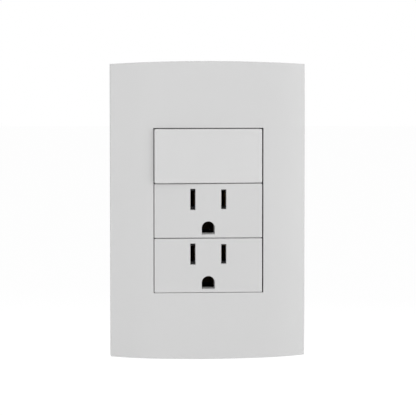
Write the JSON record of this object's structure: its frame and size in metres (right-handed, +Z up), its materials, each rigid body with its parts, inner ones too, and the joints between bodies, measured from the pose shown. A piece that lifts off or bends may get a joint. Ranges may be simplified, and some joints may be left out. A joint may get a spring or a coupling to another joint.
{
  "type": "switch and socket combination",
  "caption": "Wall plate with a wide rocker switch above earthed sockets, clipped into a support frame for a wall box.",
  "frame": {"origin": "on the wall surface behind the middle of the plate", "axes": "+Z up, -Y toward the room, +X to the right as seen from the room"},
  "size_m": [0.08, 0.0308, 0.1226],
  "materials": {
    "plate_plastic": "satin moulded",
    "module_plastic": "satin moulded",
    "frame_plastic": "matt moulded",
    "body_plastic": "matt moulded",
    "inner_plastic": "matt moulded",
    "brass": "rolled",
    "plated_steel": "zinc plated",
    "silver": "satin"
  },
  "bodies": {
    "fixed_assembly": {"face_plate": "plate_plastic", "support_frame": "frame_plastic", "frame_screw_top": "plated_steel", "frame_screw_bottom": "plated_steel", "switch_bearing_frame": "body_plastic", "switch_housing": "body_plastic", "common_terminal": "brass", "load_terminal": "brass", "fixed_contact_tip": "silver", "common_terminal_screw": "plated_steel", "load_terminal_screw": "plated_steel", "common_clamp_plate": "plated_steel", "load_clamp_plate": "plated_steel", "upper_socket_cover": "module_plastic", "upper_socket_body": "body_plastic", "upper_line_contact": "brass", "upper_line_screw": "plated_steel", "upper_line_clamp": "plated_steel", "upper_neutral_contact": "brass", "upper_neutral_screw": "plated_steel", "upper_neutral_clamp": "plated_steel", "upper_ground_contact": "brass", "upper_ground_screw": "plated_steel", "upper_ground_clamp": "plated_steel", "lower_socket_cover": "module_plastic", "lower_socket_body": "body_plastic", "lower_line_contact": "brass", "lower_line_screw": "plated_steel", "lower_line_clamp": "plated_steel", "lower_neutral_contact": "brass", "lower_neutral_screw": "plated_steel", "lower_neutral_clamp": "plated_steel", "lower_ground_contact": "brass", "lower_ground_screw": "plated_steel", "lower_ground_clamp": "plated_steel"},
    "rocker": {"switch_rocker": "module_plastic", "rocker_cradle": "body_plastic", "plunger": "inner_plastic", "plunger_spring": "plated_steel"},
    "contact_lever": {"contact_lever": "brass", "lever_contact_tip": "silver"}
  },
  "joints": [
    {"name": "rocker_press", "type": "hinge", "parent": "fixed_assembly", "child": "rocker", "pos_m": [0, -0.0055, 0.0225], "axis": [0, 0, 1], "range_deg": [-4.8, 0]},
    {"name": "contact_lever_tilt", "type": "hinge", "parent": "fixed_assembly", "child": "contact_lever", "pos_m": [0, 0.007, 0.0225], "axis": [0, 0, 1], "range_deg": [0, 16]}
  ],
  "couplings": [
    {"joint": "contact_lever_tilt", "follows": "rocker_press", "ratio": -3.3333}
  ]
}
